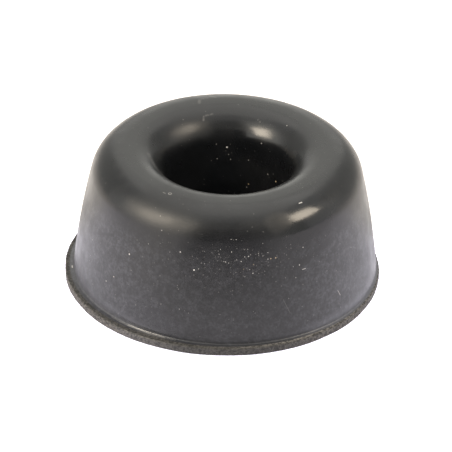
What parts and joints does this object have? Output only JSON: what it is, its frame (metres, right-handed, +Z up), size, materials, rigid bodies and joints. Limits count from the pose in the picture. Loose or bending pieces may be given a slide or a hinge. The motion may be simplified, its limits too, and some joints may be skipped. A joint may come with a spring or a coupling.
{
  "type": "bumper pad",
  "caption": "Round screw-on rubber bumper pad: a tapered, slightly barrelled block with a rounded crown, a deep recess for the screw's head and a thin trimmed flange round its foot.",
  "frame": {"origin": "centre of the flat underside, where the axis of the wall, the recess and the screw hole meets it", "axes": "+Z up along that axis, from the underside to the crown; X and Y across the pad, with -Y the side that the picture shows"},
  "size_m": [0.0394, 0.0394, 0.0175],
  "materials": {
    "black_rubber": "smooth moulded black rubber with a soft sheen, a rough cut edge and a little dust"
  },
  "bodies": {
    "root": {"bumper": "black_rubber"}
  },
  "joints": []
}
